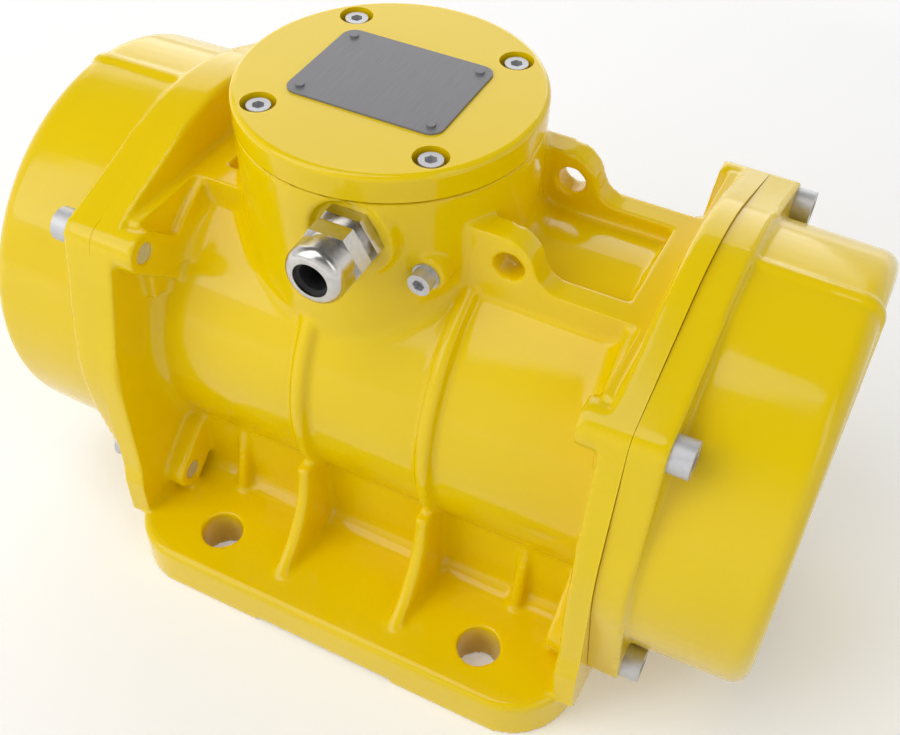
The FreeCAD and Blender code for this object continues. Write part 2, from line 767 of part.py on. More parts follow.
def motor_housing():
    solid = [foot(), barrel(), box_on_barrel()]
    for side in (-1, 1):
        solid += [rib_ring(side), big_rib(side), low_rib(side), apron(side), band(side),
                  collar(side)]
        solid += lugs(side)
    solid += ears()
    solid.append(cylinder("gland_boss", S.gland_boss, S.gland_seat,
                          (-S.gland_x, -S.gland_seat, S.gland_z), "Y"))
    solid.append(cylinder("earth_boss", S.earth_boss, S.earth_seat,
                          (S.earth_x, -S.earth_seat, S.earth_z), "Y"))
    casting = fuse("casting", solid)
    # The terminal box is hollow down to its floor, with four screw posts in it
    cavity = cylinder("box_inside", CAVITY, S.box_top - S.box_floor + 1,
                      (BOX_X, 0, S.box_floor), "Z")
    posts = [cylinder(f"lid_post{i}", S.lid_boss_radius, S.box_top - S.box_floor + 1,
                      (x, y, S.box_floor), "Z") for i, (x, y) in enumerate(lid_corners())]
    cavity = cut("box_cavity", cavity, fuse("lid_posts", posts))
    holes = [cavity]
    holes.append(cylinder("stator_bore", S.bore_radius, 2 * S.housing_half + 2,
                          (-S.housing_half - 1, 0, S.axis_height)))
    holes.append(cylinder("lead_hole", S.lead_hole / 2, S.box_floor - S.axis_height,
                          (BOX_X - CAVITY + S.lead_hole, 0, S.axis_height + 1), "Z"))
    for end in (-1, 1):
        tag = "right" if end > 0 else "left"
        start = S.housing_half - S.shield_seat_depth if end > 0 else -S.housing_half - 1
        holes.append(cylinder(f"shield_seat_{tag}", S.shield_seat_radius, S.shield_seat_depth + 1,
                              (start, 0, S.axis_height)))
        for i, (y, z) in enumerate(shield_screw_places()):
            depth = S.shield_screw_length + S.fit_gap
            start = S.housing_half - S.shield_seat_depth - depth if end > 0 else \
                -S.housing_half + S.shield_seat_depth - 1
            holes.append(cylinder(f"shield_tap_{tag}{i}", S.shield_screw / 2 + S.fit_gap,
                                  depth + 1, (start, y, z)))
        for i, (side, level) in enumerate(bolt_corners()):
            length = S.flange_thick + S.lug_boss + 2
            start = FLANGE_BACK - S.lug_boss - 1 if end > 0 else -S.housing_half - 1
            holes.append(cylinder(f"cover_tap_{tag}{i}", S.cover_bolt / 2 + S.fit_gap, length,
                                  (start, side * S.bolt_y, S.axis_height + level * S.bolt_z)))
    for i, (x, y) in enumerate(lid_corners()):
        depth = S.lid_screw_length
        holes.append(cylinder(f"lid_tap{i}", S.lid_screw / 2 + S.fit_gap, depth,
                              (x, y, S.box_top - depth + 1), "Z"))
    for side in (-1, 1):
        for way in (-1, 1):
            holes.append(cylinder(f"foot_hole{side + way * 3}", S.foot_hole / 2, S.foot_thick + 2,
                                  (side * S.foot_pitch_x / 2, way * S.foot_pitch_y / 2, -1), "Z"))
    holes.append(cylinder("ear_hole", S.ear_hole / 2, 2 * S.foot_reach,
                          (S.ear_x, -S.foot_reach, S.ear_low + S.ear_hole_rise), "Y"))
    holes.append(cylinder("gland_entry", S.gland_thread / 2 + S.fit_gap, S.gland_seat,
                          (-S.gland_x, -S.gland_seat, S.gland_z), "Y"))
    holes.append(cylinder("gland_spot", S.gland_spot, S.box_radius,
                          (-S.gland_x, -S.gland_seat - S.box_radius, S.gland_z), "Y"))
    holes.append(cylinder("earth_tap", S.lid_screw / 2 + S.fit_gap, S.box_wall + 4,
                          (S.earth_x, -S.earth_seat - 1, S.earth_z), "Y"))
    # The earth washer lies in a spot face
    holes.append(cylinder("earth_spot", S.earth_washer_radius + 0.5, S.box_radius,
                          (S.earth_x, -S.earth_seat - S.box_radius, S.earth_z), "Y"))
    holes.append(cylinder("above_rim", 2 * S.box_radius, 2 * S.gland_boss,
                          (BOX_X, 0, S.box_top), "Z"))
    holes.append(box("relief", (-S.relief_half, -S.foot_reach - 1, -1),
                     (S.relief_half, S.foot_reach + 1, S.relief_depth)))
    return keep("motor_housing", cut("motor_housing", casting, fuse("housing_holes", holes)))


def ring_places(circle, count, first=45):
    for i in range(count):
        angle = math.radians(first + 360 / count * i)
        yield circle * math.cos(angle), S.axis_height + circle * math.sin(angle)


def shield_screw_places():
    return ring_places(S.shield_screw_circle, 4)


def cap_screw_places():
    return ring_places(S.cap_screw_circle, 3, 90)


# Covers

def end_cover():
    """A deep cup on a thick lugged flange, a little smaller towards its end. A
    low bead runs round the cup and its end in the upright middle plane."""
    narrow = S.cup_radius - S.cup_taper
    proud = S.cup_raise
    cup = turned("cup", [(S.housing_half, 0), (S.housing_half, S.cover_flange_radius),
                         (SEAT, S.cover_flange_radius), (SEAT, S.cup_radius),
                         (CUP_END, narrow), (CUP_END, 0)],
                 [(CUP_END, narrow, S.cup_round), (SEAT, S.cover_flange_radius, S.edge_round)])
    web = lug_web("cover_flange", S.cover_flange_radius, S.cover_flange, S.housing_half)
    shell = turned("bead_shell", [(SEAT - 1, 0), (SEAT - 1, S.cup_radius + proud),
                                  (CUP_END + proud, narrow + proud), (CUP_END + proud, 0)],
                   [(CUP_END + proud, narrow + proud, S.cup_round + proud)])
    reach = S.cup_radius + S.cup_round
    bead = common("bead", [shell, box("bead_space",
                                      (SEAT - 2, -S.cup_bead / 2, S.axis_height - reach),
                                      (CUP_END + S.cup_round, S.cup_bead / 2,
                                       S.axis_height + reach))])
    solid = [cup, web, bead]
    holes = []
    inside = S.cup_radius - S.cup_wall
    hollow = turned("cup_hollow", [(S.housing_half - 1, 0), (S.housing_half - 1, inside),
                                   (CUP_END - S.cup_wall, inside - S.cup_taper),
                                   (CUP_END - S.cup_wall, 0)],
                    [(CUP_END - S.cup_wall, inside - S.cup_taper, S.cup_round - S.cup_wall)])
    holes.append(hollow)
    for i, (side, level) in enumerate(bolt_corners()):
        y, z = side * S.bolt_y, S.axis_height + level * S.bolt_z
        solid.append(cylinder(f"cover_lug{i}", S.lug_radius, S.cover_flange, (S.housing_half, y, z)))
        holes.append(cylinder(f"cover_hole{i}", S.cover_bolt_hole / 2, S.cover_flange + 2,
                              (S.housing_half - 1, y, z)))
        # The cup side is cleared for the bolt head and its washer
        holes.append(cylinder(f"cover_clear{i}", S.cover_bolt_head / 2 + 0.3,
                              S.washer_thick + S.cover_bolt_head_height + 2, (SEAT, y, z)))
    groove_in, groove_out = S.seal_radius - S.seal_width / 2, S.seal_radius + S.seal_width / 2
    holes.append(turned("seal_groove", [(S.housing_half - 1, groove_in - S.fit_gap),
                                        (S.housing_half - 1, groove_out + S.fit_gap),
                                        (S.housing_half + S.seal_depth, groove_out + S.fit_gap),
                                        (S.housing_half + S.seal_depth, groove_in - S.fit_gap)]))
    both_ends("cover", cut("cover_right", fuse("cover_solid", solid), fuse("cover_holes", holes)))
    seal = turned("cover_seal_right", [(S.housing_half, groove_in), (S.housing_half, groove_out),
                                       (S.housing_half + S.seal_depth, groove_out),
                                       (S.housing_half + S.seal_depth, groove_in)])
    both_ends("cover_seal", seal)


def cover_fasteners():
    bolts, washers = [], []
    length = S.cover_flange + S.flange_thick + S.lug_boss + S.washer_thick - S.cover_bolt_inset
    for i, (side, level) in enumerate(bolt_corners()):
        y, z = side * S.bolt_y, S.axis_height + level * S.bolt_z
        bolts.append(socket_screw(f"cover_bolt{i}", S.cover_bolt, length, S.cover_bolt_head,
                                  S.cover_bolt_head_height, (SEAT + S.washer_thick, y, z), "X",
                                  S.cover_bolt * 0.75))
        washers.append(cut(f"cover_washer{i}",
                           cylinder(f"cover_washer{i}_disc", S.cover_bolt_head / 2, S.washer_thick,
                                    (SEAT, y, z)),
                           cylinder(f"cover_washer{i}_hole", S.cover_bolt / 2 + 0.25,
                                    S.washer_thick + 2, (SEAT - 1, y, z))))
    both_ends("cover_bolts", group("cover_bolts_right", bolts))
    both_ends("cover_washers", group("cover_washers_right", washers))


# Terminal box fittings

def terminal_lid():
    disc = cylinder("lid_disc", S.lid_radius, S.lid_thick, (BOX_X, 0, LID_UNDER), "Z")
    soft = rounded("lid_rounded", disc, S.lid_round,
                   lambda edge: len(edge.Vertexes) == 1 and all_near(edge, "z", LID_TOP))
    holes = []
    for i, (x, y) in enumerate(lid_corners()):
        holes.append(cylinder(f"lid_hole{i}", S.lid_screw / 2 + 0.25, S.lid_thick + 2,
                              (x, y, LID_UNDER - 1), "Z"))
        holes.append(cylinder(f"lid_sink{i}", S.lid_sink / 2, S.lid_sink_depth + 1,
                              (x, y, LID_TOP - S.lid_sink_depth), "Z"))
    for i, (x, y) in enumerate(rivet_places()):
        holes.append(cylinder(f"rivet_hole{i}", S.rivet_pin / 2 + S.fit_gap, S.lid_thick / 2,
                              (x, y, LID_TOP - S.lid_thick / 2 + 1), "Z"))
    keep("terminal_lid", cut("terminal_lid", soft, fuse("lid_holes", holes)))


def lid_gasket():
    outer = S.box_radius - S.gasket_inset
    disc = cylinder("gasket_disc", outer, S.gasket_thick, (BOX_X, 0, S.box_top), "Z")
    holes = [cylinder("gasket_inside", outer - S.gasket_width, S.gasket_thick + 2,
                      (BOX_X, 0, S.box_top - 1), "Z")]
    for i, (x, y) in enumerate(lid_corners()):
        holes.append(cylinder(f"gasket_hole{i}", S.lid_screw / 2 + 0.25, S.gasket_thick + 2,
                              (x, y, S.box_top - 1), "Z"))
    keep("lid_gasket", cut("lid_gasket", disc, fuse("gasket_holes", holes)))


def lid_fasteners():
    screws, washers = [], []
    floor = LID_TOP - S.lid_sink_depth
    for i, (x, y) in enumerate(lid_corners()):
        screws.append(socket_screw(f"lid_screw{i}", S.lid_screw, S.lid_screw_length, S.lid_head,
                                   S.lid_screw, (x, y, floor + S.lid_washer_thick), "Z",
                                   S.lid_screw * 0.8))
        washers.append(cut(f"lid_washer{i}",
                           cylinder(f"lid_washer{i}_disc", S.lid_head / 2 + 0.3,
                                    S.lid_washer_thick, (x, y, floor), "Z"),
                           cylinder(f"lid_washer{i}_hole", S.lid_screw / 2 + 0.25,
                                    S.lid_washer_thick + 2, (x, y, floor - 1), "Z")))
    keep("lid_screws", group("lid_screws", screws))
    keep("lid_washers", group("lid_washers", washers))


def rivet_places():
    for side in (-1, 1):
        for way in (-1, 1):
            yield (BOX_X + side * (S.plate_length / 2 - S.rivet_inset),
                   way * (S.plate_width / 2 - S.rivet_inset))


def nameplate():
    half_length, half_width = S.plate_length / 2, S.plate_width / 2
    body = plate("nameplate_blank", [(BOX_X - half_length, -half_width),
                                     (BOX_X + half_length, -half_width),
                                     (BOX_X + half_length, half_width),
                                     (BOX_X - half_length, half_width)],
                 S.plate_thick, LID_TOP, "XY_Plane")
    doc.recompute()
    round_edges(body, "nameplate_corners", upright_edges(body.Tip.Shape), S.plate_corner)
    holes, rivets = [], []
    for i, (x, y) in enumerate(rivet_places()):
        holes.append(cylinder(f"plate_hole{i}", S.rivet_pin / 2 + S.fit_gap, S.plate_thick + 2,
                              (x, y, LID_TOP - 1), "Z"))
        pin = S.plate_thick + S.lid_thick / 2 - 1
        rivets.append(fuse(f"rivet{i}", [
            cylinder(f"rivet{i}_pin", S.rivet_pin / 2, pin,
                     (x, y, LID_TOP + S.plate_thick - pin), "Z"),
            cylinder(f"rivet{i}_head", S.rivet_head / 2, S.plate_thick,
                     (x, y, LID_TOP + S.plate_thick), "Z")]))
    keep("nameplate", cut("nameplate", body, fuse("plate_holes", holes)))
    keep("nameplate_rivets", group("nameplate_rivets", rivets))


def terminal_block():
    half_length, half_width = S.block_length / 2, S.block_width / 2
    base = box("block_base", (BOX_X - half_length, -half_width, S.box_floor),
               (BOX_X + half_length, half_width, S.box_floor + S.block_height))
    top = S.box_floor + S.block_height
    holes, studs, nuts = [], [], []
    for column in (-1, 0, 1):
        for row in (-1, 1):
            tag = f"{column + 1}{row + 1}"
            x, y = BOX_X + column * S.stud_pitch, row * S.stud_pitch / 2
            sink = S.block_height - 2
            holes.append(cylinder(f"stud_hole{tag}", S.stud_thread / 2 + S.fit_gap, sink + 1,
                                  (x, y, top - sink), "Z"))
            studs.append(cylinder(f"stud{tag}", S.stud_thread / 2, sink + S.stud_rise,
                                  (x, y, top - sink), "Z"))
            nuts.append(cut(f"nut{tag}",
                            hexagon(f"nut{tag}_hex", S.nut_flats, S.nut_height, (x, y, top), "Z"),
                            cylinder(f"nut{tag}_hole", S.stud_thread / 2 + S.fit_gap,
                                     S.nut_height + 2, (x, y, top - 1), "Z")))
    keep("terminal_block", cut("terminal_block", base, fuse("stud_holes", holes)))
    keep("terminal_studs", group("terminal_studs", studs))
    keep("terminal_nuts", group("terminal_nuts", nuts))


def cable_gland():
    """A brass gland: a hexagon base with the entry thread and the neck, a cap
    nut with a domed end, and the rubber sealing ring that the nut squeezes."""
    x, z, seat = -S.gland_x, S.gland_z, -S.gland_seat
    base_front = seat - S.gland_base
    nut_back = base_front - S.gland_neck
    hex_front = nut_back - S.gland_nut_hex
    front = hex_front - S.gland_dome
    thread = S.gland_thread / 2
    neck = thread - 1
    lip = 2
    grip_back = nut_back - S.gland_nut_hex / 2
    # Base, with the entry thread behind and the neck in front
    solid = fuse("gland_base_solid", [
        hexagon("gland_base_hex", S.gland_flats, S.gland_base, (x, base_front, z), "Y"),
        cylinder("gland_entry_thread", thread, S.box_wall, (x, seat, z), "Y"),
        cylinder("gland_neck_part", neck, base_front - grip_back, (x, grip_back, z), "Y")])
    passage = cylinder("gland_passage", S.gland_mouth / 2 + 0.3, S.foot_reach,
                       (x, grip_back - 1, z), "Y")
    keep("gland_body", cut("gland_body", solid, passage))
    # Cap nut
    nut = fuse("gland_nut_solid", [
        hexagon("gland_nut_hexagon", S.gland_flats, S.gland_nut_hex, (x, hex_front, z), "Y"),
        cylinder("gland_nut_dome", S.gland_flats / 2, S.gland_dome, (x, front, z), "Y")])
    doc.recompute()
    rim = [number for number, edge in enumerate(nut.Shape.Edges, start=1)
           if all(abs(vertex.Point.y - front.number) < 0.01 for vertex in edge.Vertexes)]
    dome = doc.addObject("Part::Fillet", "gland_nut_domed")
    dome.Base = nut
    curve = (S.gland_flats.number - S.gland_mouth.number) / 2 - 0.6
    dome.Edges = [(number, curve, curve) for number in rim]
    inside = [cylinder("gland_nut_mouth", S.gland_mouth / 2, 2 * lip, (x, front - 1, z), "Y"),
              cylinder("gland_nut_thread", neck + S.fit_gap, nut_back - front - lip + 1,
                       (x, front + lip, z), "Y")]
    keep("gland_nut", cut("gland_nut", dome, fuse("gland_nut_inside", inside)))
    # Sealing ring
    length = grip_back - front - lip
    ring = cylinder("gland_ring", neck - S.fit_gap, length, (x, front + lip, z), "Y")
    hole = cylinder("gland_ring_hole", S.gland_cable / 2, length + 2, (x, front + lip - 1, z), "Y")
    keep("gland_seal", cut("gland_seal", ring, hole))


def earth_terminal():
    x, z, seat = S.earth_x, S.earth_z, -S.earth_seat
    front = seat - S.earth_washer_thick
    keep("earth_washer", cut("earth_washer",
                             cylinder("earth_washer_disc", S.earth_washer_radius,
                                      S.earth_washer_thick, (x, front, z), "Y"),
                             cylinder("earth_washer_hole", S.lid_screw / 2 + 0.25,
                                      S.earth_washer_thick + 2, (x, front - 1, z), "Y")))
    head = cylinder("earth_head", S.lid_head / 2, S.lid_screw, (x, front - S.lid_screw, z), "Y")
    shank = cylinder("earth_shank", S.lid_screw / 2, S.box_wall + 2, (x, front, z), "Y")
    socket = hexagon("earth_socket", S.lid_screw * 0.8, S.lid_screw / 2 + 1,
                     (x, front - S.lid_screw - 1, z), "Y")
    keep("earth_screw", cut("earth_screw", fuse("earth_body", [head, shank]), socket))


# Stator, bearings and shields

def stator():
    bore = S.rotor_radius + S.air_gap
    outer = S.bore_radius - S.fit_gap
    half = S.stator_half
    keep("stator_core", turned("stator_core", [(-half, bore), (half, bore), (half, outer),
                                               (-half, outer)]))
    low = S.bore_radius - 2 - S.winding_thick
    high = S.bore_radius - 2
    end = half + S.winding_length
    coil = turned("winding_right", [(half, low), (end, low), (end, high), (half, high)],
                  [(end, low, S.winding_thick / 3), (end, high, S.winding_thick / 3)])
    keep("stator_windings", group("stator_windings", [coil, mirrored("winding_left", coil)]))


BEARING_END = BEARING_START + S.bearing_width


def bearing_parts():
    start, end = BEARING_START, BEARING_END
    outer_race = S.inner_race + 2 * S.roller_radius
    rim = S.rim_width
    both_ends("bearing_outer_ring", turned("bearing_outer_ring_right", [
        (start, S.outer_rim), (start, S.bearing_outer), (end, S.bearing_outer),
        (end, S.outer_rim), (end - rim, S.outer_rim), (end - rim, outer_race),
        (start + rim, outer_race), (start + rim, S.outer_rim)]))
    bore = S.bearing_seat + S.fit_gap
    both_ends("bearing_inner_ring", turned("bearing_inner_ring_right", [
        (start, bore), (end, bore), (end, S.inner_race), (start + rim, S.inner_race),
        (start + rim, S.inner_rim), (start, S.inner_rim)]))
    # Rollers on their pitch circle, and the cage that spaces them
    pitch = S.inner_race + S.roller_radius
    middle = (start + end) / 2
    first = middle - S.roller_length / 2
    count = int(S.roller_count.number)
    rollers, pockets = [], []
    for i in range(count):
        angle = 2 * math.pi * i / count
        y, z = pitch * math.cos(angle), S.axis_height + pitch * math.sin(angle)
        rollers.append(cylinder(f"roller{i}", S.roller_radius - S.fit_gap, S.roller_length,
                                (first, y, z)))
        pockets.append(cylinder(f"pocket{i}", S.roller_radius + S.cage_play,
                                S.roller_length + 2 * S.cage_play, (first - S.cage_play, y, z)))
    both_ends("bearing_rollers", group("bearing_rollers_right", rollers))
    low = first - S.cage_play - S.cage_side
    high = first + S.roller_length + S.cage_play + S.cage_side
    inner, outer = pitch - S.cage_thick / 2, pitch + S.cage_thick / 2
    blank = turned("cage_blank", [(low, inner), (high, inner), (high, outer), (low, outer)])
    both_ends("bearing_cage", cut("bearing_cage_right", blank, fuse("cage_pockets", pockets)))


def shield_parts():
    start, end = BEARING_START, BEARING_END
    seat = S.housing_half - S.shield_seat_depth
    spigot = S.bore_radius - S.fit_gap
    flange = S.shield_seat_radius - 0.3
    face = seat + S.shield_flange
    lip = start - S.shield_lip
    blank = turned("shield_blank", [
        (lip, S.shield_lip_radius), (lip, S.shield_hub), (seat - S.shield_web, S.shield_hub),
        (seat - S.shield_web, spigot), (seat, spigot), (seat, flange), (face, flange),
        (face, S.shield_hub), (end, S.shield_hub), (end, S.bearing_outer + S.fit_gap),
        (start, S.bearing_outer + S.fit_gap), (start, S.shield_lip_radius)])
    holes, screws = [], []
    for i, (y, z) in enumerate(shield_screw_places()):
        holes.append(cylinder(f"shield_hole{i}", S.shield_screw / 2 + 0.3, S.shield_flange + 2,
                              (seat - 1, y, z)))
        length = S.shield_screw_length + S.shield_flange - 1
        screws.append(socket_screw(f"shield_screw{i}", S.shield_screw, length,
                                   S.shield_screw * 5 / 3, S.shield_screw, (face, y, z), "X",
                                   S.shield_screw * 5 / 6))
    for i, (y, z) in enumerate(cap_screw_places()):
        depth = S.cap_screw_length - S.cap_thick + 1
        holes.append(cylinder(f"cap_tap{i}", S.cap_screw / 2 + S.fit_gap, depth + 1,
                              (end - depth, y, z)))
    both_ends("bearing_shield", cut("bearing_shield_right", blank, fuse("shield_holes", holes)))
    both_ends("shield_screws", group("shield_screws_right", screws))
    # The cap closes the bearing and leaves a running gap round the spacer
    gap = S.spacer_radius + 0.4
    floor = end + S.cap_recess
    plate_ring = turned("cap_blank", [(floor, gap), (end + S.cap_thick, gap),
                                      (end + S.cap_thick, S.cap_radius), (end, S.cap_radius),
                                      (end, S.cap_recess_radius), (floor, S.cap_recess_radius)])
    holes, screws = [], []
    for i, (y, z) in enumerate(cap_screw_places()):
        holes.append(cylinder(f"cap_hole{i}", S.cap_screw / 2 + 0.25, S.cap_thick + 2,
                              (end - 1, y, z)))
        screws.append(socket_screw(f"cap_screw{i}", S.cap_screw, S.cap_screw_length,
                                   S.cap_screw * 1.9, S.cap_head_height,
                                   (end + S.cap_thick, y, z), "X", S.cap_screw * 0.6))
    both_ends("bearing_cap", cut("bearing_cap_right", plate_ring, fuse("cap_holes", holes)))
    both_ends("cap_screws", group("cap_screws_right", screws))


# Rotor and weights

FIXED = BEARING_END + S.spacer_length
FIXED_END = FIXED + S.weight_thick
LOOSE = FIXED_END + S.weight_gap
LOOSE_END = LOOSE + S.weight_thick
SCALE = LOOSE_END + S.weight_gap
CLIP = SCALE + S.scale_thick


def keyway(name, low, high, rise):
    """The space of a key above the axis, up to the given height."""
    half = S.key_width / 2
    return box(name, (low, -half, S.axis_height + S.weight_seat - S.key_sink),
               (high, half, S.axis_height + rise))


def shaft():
    clip_floor = S.weight_seat - S.clip_sink
    chamfer = S.shaft_chamfer
    half = [(BEARING_START, S.core_seat), (BEARING_START, S.bearing_seat),
            (FIXED, S.bearing_seat), (FIXED, S.weight_seat), (CLIP, S.weight_seat),
            (CLIP, clip_floor), (CLIP + S.clip_thick, clip_floor),
            (CLIP + S.clip_thick, S.weight_seat), (SHAFT_HALF - chamfer, S.weight_seat),
            (SHAFT_HALF, S.weight_seat - chamfer), (SHAFT_HALF, 0)]
    other = [(-along, radius) for along, radius in reversed(half)]
    blank = turned("shaft_blank", other + half)
    low, high = FIXED + S.key_inset, FIXED_END - S.key_inset
    right = keyway("shaft_keyway", low, high, S.weight_seat + 1)
    ways = fuse("shaft_keyways", [right, mirrored("shaft_keyway_left", right)])
    keep("rotor_shaft", cut("rotor_shaft", blank, ways))


def rotor_pieces():
    bore = S.core_seat + S.fit_gap
    half = S.stator_half
    keep("rotor_core", turned("rotor_core", [(-half, bore), (half, bore), (half, S.rotor_radius),
                                             (-half, S.rotor_radius)]))
    end = half + S.end_ring_length
    inner = S.end_ring_radius - S.end_ring_length * 1.25
    ring = turned("end_ring_right", [(half, inner), (end, inner), (end, S.end_ring_radius),
                                     (half, S.end_ring_radius)])
    keep("rotor_end_rings", group("rotor_end_rings", [ring, mirrored("end_ring_left", ring)]))
    both_ends("weight_spacer", turned("weight_spacer_right", [
        (BEARING_END, S.bearing_seat + S.fit_gap), (FIXED, S.bearing_seat + S.fit_gap),
        (FIXED, S.spacer_radius), (BEARING_END, S.spacer_radius)]))
    play = S.fit_gap
    low, high = FIXED + S.key_inset + play, FIXED_END - S.key_inset - play
    half_width = S.key_width / 2 - play
    foot_z = S.axis_height + S.weight_seat - S.key_sink
    both_ends("weight_key", box("weight_key_right", (low, -half_width, foot_z),
                                (high, half_width, foot_z + S.key_height)))
    both_ends("scale_disc", turned("scale_disc_right", [
        (SCALE, S.weight_seat + play), (CLIP, S.weight_seat + play),
        (CLIP, S.scale_radius), (SCALE, S.scale_radius)]))
    floor = S.weight_seat - S.clip_sink + play
    both_ends("shaft_clip", turned("shaft_clip_right", [
        (CLIP, floor), (CLIP + S.clip_thick - play, floor),
        (CLIP + S.clip_thick - play, floor + S.clip_height), (CLIP, floor + S.clip_height)]))


def half_moon(name, start):
    """A half disc that hangs below the shaft, with rounded corners, and a hub."""
    disc = cylinder(f"{name}_disc", S.weight_radius, S.weight_thick, (start, 0, S.axis_height))
    reach = S.weight_radius + 1
    lower = box(f"{name}_lower", (start - 1, -reach, S.axis_height - reach),
                (start + S.weight_thick + 1, reach, S.axis_height))
    moon = common(f"{name}_moon", [disc, lower])
    doc.recompute()
    corners = []
    for number, edge in enumerate(moon.Shape.Edges, start=1):
        ends = [vertex.Point for vertex in edge.Vertexes]
        flat = all(abs(point.z - S.axis_height.number) < 0.01 for point in ends)
        if flat and abs(ends[0].x - ends[-1].x) > 0.01:
            corners.append(number)
    rounded = doc.addObject("Part::Fillet", f"{name}_rounded")
    rounded.Base = moon
    rounded.Edges = [(number, S.weight_corner.number, S.weight_corner.number) for number in corners]
    hub = cylinder(f"{name}_hub", S.weight_hub, S.weight_thick, (start, 0, S.axis_height))
    return [rounded, hub]


def weights():
    fixed = fuse("fixed_solid", half_moon("fixed", FIXED))
    bore = cylinder("fixed_bore", S.weight_seat + S.fit_gap, S.weight_thick + 2,
                    (FIXED - 1, 0, S.axis_height))
    way = keyway("fixed_keyway", FIXED - 1, FIXED_END + 1,
                 S.weight_seat - S.key_sink + S.key_height + S.fit_gap)
    both_ends("fixed_weight", cut("fixed_weight_right", fixed, fuse("fixed_holes", [bore, way])))
    # The adjustable weight: its hub is split on top and pinched by a screw
    head = box("clamp_head", (LOOSE, -S.clamp_half, S.axis_height),
               (LOOSE_END, S.clamp_half, S.axis_height + S.clamp_rise))
    loose = fuse("loose_solid", half_moon("loose", LOOSE) + [head])
    middle = LOOSE + S.weight_thick / 2
    screw_z = S.axis_height + S.clamp_screw_rise
    head_seat = S.clamp_half - S.clamp_screw
    holes = [
        cylinder("loose_bore", S.weight_seat + S.fit_gap, S.weight_thick + 2,
                 (LOOSE - 1, 0, S.axis_height)),
        box("clamp_slot", (LOOSE - 1, -S.clamp_slot / 2, S.axis_height + S.weight_seat / 2),
            (LOOSE_END + 1, S.clamp_slot / 2, S.axis_height + S.clamp_rise + 1)),
        cylinder("clamp_hole", S.clamp_screw / 2 + S.fit_gap, 2 * S.clamp_half + 2,
                 (middle, -S.clamp_half - 1, screw_z), "Y"),
        cylinder("clamp_sink", S.clamp_screw * 0.85, S.clamp_screw + 1,
                 (middle, head_seat, screw_z), "Y")]
    both_ends("adjustable_weight", cut("adjustable_weight_right", loose,
                                       fuse("loose_holes", holes)))
    both_ends("clamp_screw", socket_screw("clamp_screw_right", S.clamp_screw,
                                          head_seat + S.clamp_half - 2, S.clamp_screw * 1.625,
                                          S.clamp_screw, (middle, head_seat, screw_z), "Y",
                                          S.clamp_screw * 0.75))


motor_housing()
end_cover()
cover_fasteners()
terminal_lid()
lid_gasket()
lid_fasteners()
nameplate()
terminal_block()
cable_gland()
earth_terminal()
stator()
bearing_parts()
shield_parts()
shaft()
rotor_pieces()
weights()
doc.recompute()

# Check the document, then write each piece

for thing in doc.Objects:
    if "Invalid" in thing.State or "Error" in thing.State:
        raise RuntimeError(f"{thing.Name} did not build: {thing.State}")
for label, thing in pieces.items():
    if thing.Shape.isNull() or not thing.Shape.isValid() or not thing.Shape.Solids:
        raise RuntimeError(f"{label} has no valid shape")

os.makedirs("parts", exist_ok=True)
for label, thing in sorted(pieces.items()):
    thing.Shape.exportStep(f"parts/{label}.step")
    print(label, len(thing.Shape.Solids), "solids", round(thing.Shape.Volume), "mm3")
print(len(pieces), "nodes")
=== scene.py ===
import json
import math

import bmesh
import bpy
from mathutils import Matrix, Vector


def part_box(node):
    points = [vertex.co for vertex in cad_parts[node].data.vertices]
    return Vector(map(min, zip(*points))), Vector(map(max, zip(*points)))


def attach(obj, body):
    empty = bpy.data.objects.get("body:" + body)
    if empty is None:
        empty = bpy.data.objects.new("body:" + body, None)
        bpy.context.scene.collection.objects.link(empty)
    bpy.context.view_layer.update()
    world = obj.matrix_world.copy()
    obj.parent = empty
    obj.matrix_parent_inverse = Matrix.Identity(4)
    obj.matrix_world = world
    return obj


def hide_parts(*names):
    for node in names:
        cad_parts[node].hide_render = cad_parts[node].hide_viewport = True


# An external vibration motor in thick yellow enamel on a pale studio floor.
# Lengths are in metres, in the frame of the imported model. The shaping of the
# cast pieces works in millimetres of the same frame, and says so.

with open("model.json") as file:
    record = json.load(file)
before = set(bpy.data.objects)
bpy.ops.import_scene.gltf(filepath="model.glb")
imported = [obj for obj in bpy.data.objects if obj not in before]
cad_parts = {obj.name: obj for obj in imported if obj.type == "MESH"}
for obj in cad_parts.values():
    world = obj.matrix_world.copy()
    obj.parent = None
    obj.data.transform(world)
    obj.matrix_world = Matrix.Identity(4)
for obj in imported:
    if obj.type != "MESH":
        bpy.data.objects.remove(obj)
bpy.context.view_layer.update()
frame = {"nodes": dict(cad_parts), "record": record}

MM = 0.001


# Materials


def new_material(name):
    material = bpy.data.materials.new(name)
    material.use_nodes = True
    nodes = material.node_tree.nodes
    return material, nodes, material.node_tree.links, nodes["Principled BSDF"]


def grey(level):
    return (level, level, level)


def add_noise(nodes, links, scale, detail=3.0, stretch=(1, 1, 1)):
    place = nodes.new("ShaderNodeTexCoord")
    mapping = nodes.new("ShaderNodeMapping")
    mapping.inputs["Scale"].default_value = stretch
    noise = nodes.new("ShaderNodeTexNoise")
    noise.inputs["Scale"].default_value = scale
    noise.inputs["Detail"].default_value = detail
    links.new(place.outputs["Object"], mapping.inputs["Vector"])
    links.new(mapping.outputs["Vector"], noise.inputs["Vector"])
    return noise


def add_ramp(nodes, links, source, low, high, start=0.35, end=0.65):
    """Turns a value into a colour: low up to start, high from end on."""
    ramp = nodes.new("ShaderNodeValToRGB")
    ramp.color_ramp.elements[0].position = start
    ramp.color_ramp.elements[1].position = end
    ramp.color_ramp.elements[0].color = (*low, 1)
    ramp.color_ramp.elements[1].color = (*high, 1)
    links.new(source, ramp.inputs["Fac"])
    return ramp.outputs["Color"]


